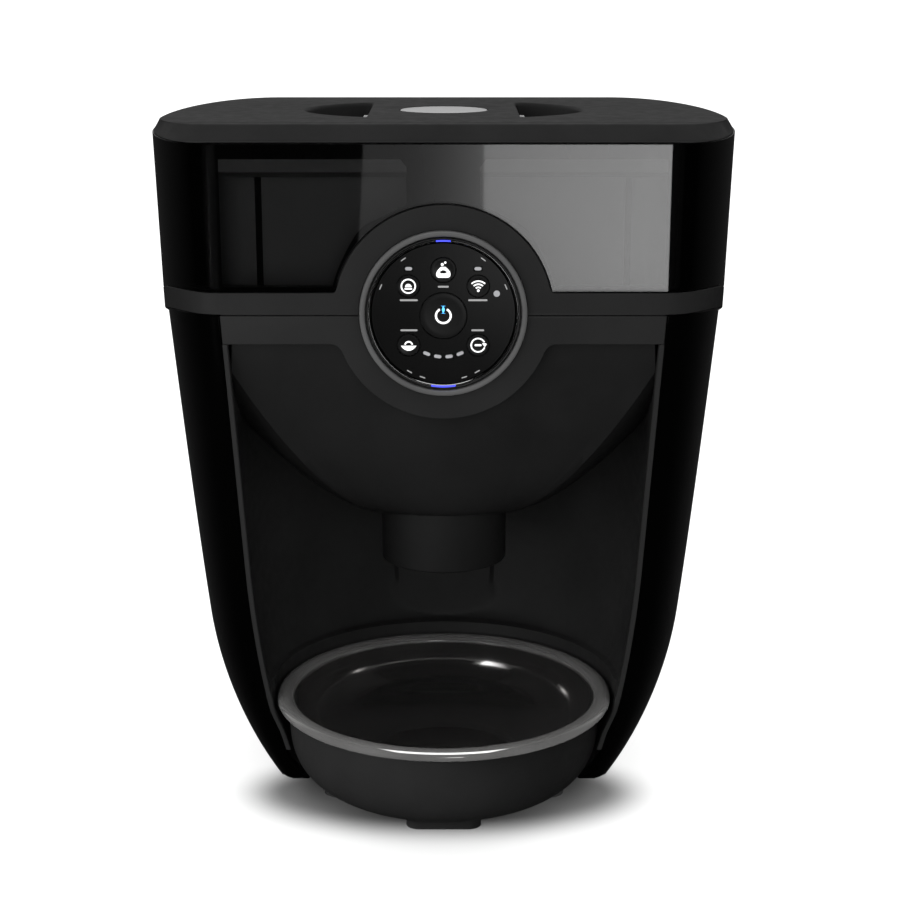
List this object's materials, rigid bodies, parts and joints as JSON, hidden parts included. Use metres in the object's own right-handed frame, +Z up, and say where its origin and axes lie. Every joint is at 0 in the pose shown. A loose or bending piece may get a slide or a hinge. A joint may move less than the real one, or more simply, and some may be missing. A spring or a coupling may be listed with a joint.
{
  "type": "automatic pet feeder",
  "caption": "Automatic pet feeder: smoky hopper with lift-off lid, round button dial, rotary dispenser, arched alcove and steel bowl on a pull-out tray.",
  "frame": {"origin": "on the floor under the centre of the bounding box", "axes": "+Z up, -Y towards the bowl and the dial, +X to the right of a viewer facing the dial"},
  "size_m": [0.317, 0.282, 0.373],
  "materials": {
    "gloss_black": "high gloss",
    "matte_cover": "fine satin texture",
    "front_grey": "satin moulded",
    "smoky_window": "smoky clear plastic, polished",
    "tank_black": "smooth moulded",
    "alcove_black": "fine matte",
    "bezel_grey": "satin",
    "light_pipe": "clear moulded plastic",
    "dial_black": "gloss",
    "circuit": "circuit board",
    "inner_grey": "plain moulded",
    "soft_paddle": "soft silicone",
    "steel_rod": "turned",
    "screw_black": "blackened",
    "bronze": "plain",
    "gear_white": "acetal",
    "motor_steel": "zinc plated",
    "cell": "sleeved",
    "lid_grey": "satin moulded",
    "badge_silver": "spun",
    "rubber_dark": "soft",
    "latch_grey": "satin",
    "tray_grey": "fine satin texture",
    "bowl_steel": "polished stainless steel"
  },
  "bodies": {
    "housing": {"side_shell_left": "gloss_black", "side_shell_right": "gloss_black", "rear_cover": "matte_cover", "front_panel": "front_grey", "mid_band": "front_grey", "hopper_window": "smoky_window", "hopper_tank": "tank_black", "alcove_liner": "alcove_black", "funnel_cowl": "alcove_black", "food_nozzle": "alcove_black", "base_plate": "alcove_black", "rubber_feet": "rubber_dark", "dial_bezel": "bezel_grey", "light_ring": "light_pipe", "control_panel": "dial_black", "indicator_lights": "light_pipe", "proximity_sensor": "dial_black", "control_board": "circuit", "dial_housing": "inner_grey", "dispenser_drum": "inner_grey", "shaft_bushes": "bronze", "gear_motor": "motor_steel", "motor_bracket": "motor_steel", "chute_sensors": "circuit", "battery_box": "inner_grey", "battery_cells": "cell", "dc_inlet": "inner_grey", "rear_screws": "screw_black", "board_screws": "steel_rod", "bracket_screws": "steel_rod"},
    "lid": {"lid": "lid_grey", "lid_badge": "badge_silver", "lid_gasket": "rubber_dark"},
    "latch_left": {"latch_left": "latch_grey"},
    "latch_right": {"latch_right": "latch_grey"},
    "bowl_tray": {"bowl_tray": "tray_grey", "tray_pads": "rubber_dark"},
    "steel_bowl": {"steel_bowl": "bowl_steel"},
    "paddle_wheel": {"paddle_wheel": "soft_paddle", "wheel_shaft": "steel_rod", "drive_gear": "gear_white"},
    "pinion": {"motor_pinion": "bronze", "motor_shaft": "steel_rod"},
    "battery_door": {"battery_door": "matte_cover"},
    "power_button": {"power_button": "dial_black"},
    "feed_button": {"feed_button": "dial_black"},
    "mode_button": {"mode_button": "dial_black"},
    "wireless_button": {"wireless_button": "dial_black"},
    "portion_button": {"portion_button": "dial_black"},
    "schedule_button": {"schedule_button": "dial_black"}
  },
  "joints": [
    {"name": "lid_lift", "type": "slide", "parent": "housing", "child": "lid", "axis": [0, 0, 1], "range_m": [0, 0.1]},
    {"name": "latch_left_squeeze", "type": "slide", "parent": "lid", "child": "latch_left", "axis": [1, 0, 0], "range_m": [0, 0.004], "stiffness_N_per_m": 300},
    {"name": "latch_right_squeeze", "type": "slide", "parent": "lid", "child": "latch_right", "axis": [-1, 0, 0], "range_m": [0, 0.004], "stiffness_N_per_m": 300},
    {"name": "tray_slide", "type": "slide", "parent": "housing", "child": "bowl_tray", "axis": [0, -1, 0], "range_m": [0, 0.12]},
    {"name": "bowl_lift", "type": "slide", "parent": "bowl_tray", "child": "steel_bowl", "axis": [0, 0, 1], "range_m": [0, 0.05]},
    {"name": "wheel_turn", "type": "hinge", "parent": "housing", "child": "paddle_wheel", "pos_m": [0, -0.012, 0.204], "axis": [1, 0, 0], "continuous": true},
    {"name": "pinion_turn", "type": "hinge", "parent": "housing", "child": "pinion", "pos_m": [0.04, 0.01757, 0.22471], "axis": [1, 0, 0], "continuous": true},
    {"name": "battery_door_pull", "type": "slide", "parent": "housing", "child": "battery_door", "axis": [0, 1, 0], "range_m": [0, 0.05]},
    {"name": "power_button_press", "type": "slide", "parent": "housing", "child": "power_button", "axis": [0, 0.9992, 0.0411], "range_m": [0, 0.001], "stiffness_N_per_m": 600},
    {"name": "feed_button_press", "type": "slide", "parent": "housing", "child": "feed_button", "axis": [0, 0.9992, 0.0411], "range_m": [0, 0.001], "stiffness_N_per_m": 600},
    {"name": "mode_button_press", "type": "slide", "parent": "housing", "child": "mode_button", "axis": [0, 0.9992, 0.0411], "range_m": [0, 0.001], "stiffness_N_per_m": 600},
    {"name": "wireless_button_press", "type": "slide", "parent": "housing", "child": "wireless_button", "axis": [0, 0.9992, 0.0411], "range_m": [0, 0.001], "stiffness_N_per_m": 600},
    {"name": "portion_button_press", "type": "slide", "parent": "housing", "child": "portion_button", "axis": [0, 0.9992, 0.0411], "range_m": [0, 0.001], "stiffness_N_per_m": 600},
    {"name": "schedule_button_press", "type": "slide", "parent": "housing", "child": "schedule_button", "axis": [0, 0.9992, 0.0411], "range_m": [0, 0.001], "stiffness_N_per_m": 600}
  ],
  "couplings": [
    {"joint": "pinion_turn", "follows": "wheel_turn", "ratio": -3}
  ]
}
